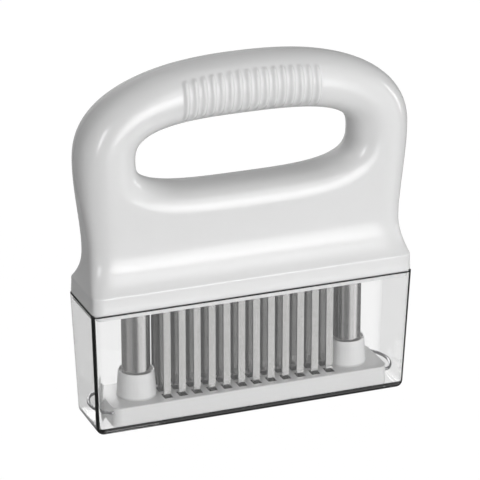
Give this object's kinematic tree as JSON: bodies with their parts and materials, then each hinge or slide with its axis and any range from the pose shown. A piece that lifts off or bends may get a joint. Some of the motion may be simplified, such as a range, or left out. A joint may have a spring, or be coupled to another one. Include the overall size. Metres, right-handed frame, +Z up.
{
  "type": "blade meat tenderizer",
  "caption": "Hand-held blade meat tenderizer: loop-handle housing with rows of flat blades, a spring-loaded foot plate on steel columns, and a clear storage cover.",
  "frame": {"origin": "centre of the clear cover's underside", "axes": "+X along the handle, -Y is the front, +Z up"},
  "size_m": [0.1396, 0.0314, 0.1483],
  "materials": {
    "clear_plastic": "polished clear plastic",
    "white_plastic": "smooth satin-gloss",
    "natural_plastic": "plain moulded",
    "blade_steel": "ground lengthwise",
    "column_steel": "drawn tube",
    "wire_steel": "bright drawn wire"
  },
  "bodies": {
    "cover": {"clear_cover": "clear_plastic"},
    "tool": {"handle_housing": "white_plastic", "base_plate": "white_plastic", "base_screws": "wire_steel", "blade_bar_front": "natural_plastic", "blade_bar_middle": "natural_plastic", "blade_bar_rear": "natural_plastic", "blades_front": "blade_steel", "blades_middle": "blade_steel", "blades_rear": "blade_steel", "blade_pins": "wire_steel", "guide_bush_left": "natural_plastic", "guide_bush_right": "natural_plastic", "spring_guide_left": "natural_plastic", "spring_guide_right": "natural_plastic", "spring_left": "wire_steel", "spring_right": "wire_steel"},
    "foot": {"foot_plate": "white_plastic", "column_tube_left": "column_steel", "column_tube_right": "column_steel", "column_collar_left": "natural_plastic", "column_collar_right": "natural_plastic", "column_foot_left": "white_plastic", "column_foot_right": "white_plastic", "wire_clip_left": "wire_steel", "wire_clip_right": "wire_steel"}
  },
  "joints": [
    {"name": "tool_lift", "type": "slide", "parent": "cover", "child": "tool", "axis": [0, 0, 1], "range_m": [0, 0.07]},
    {"name": "plate_travel", "type": "slide", "parent": "tool", "child": "foot", "axis": [0, 0, 1], "range_m": [0, 0.0274], "stiffness_N_per_m": 600, "springref_m": -0.012, "deforming": ["spring_left", "spring_right"]}
  ]
}
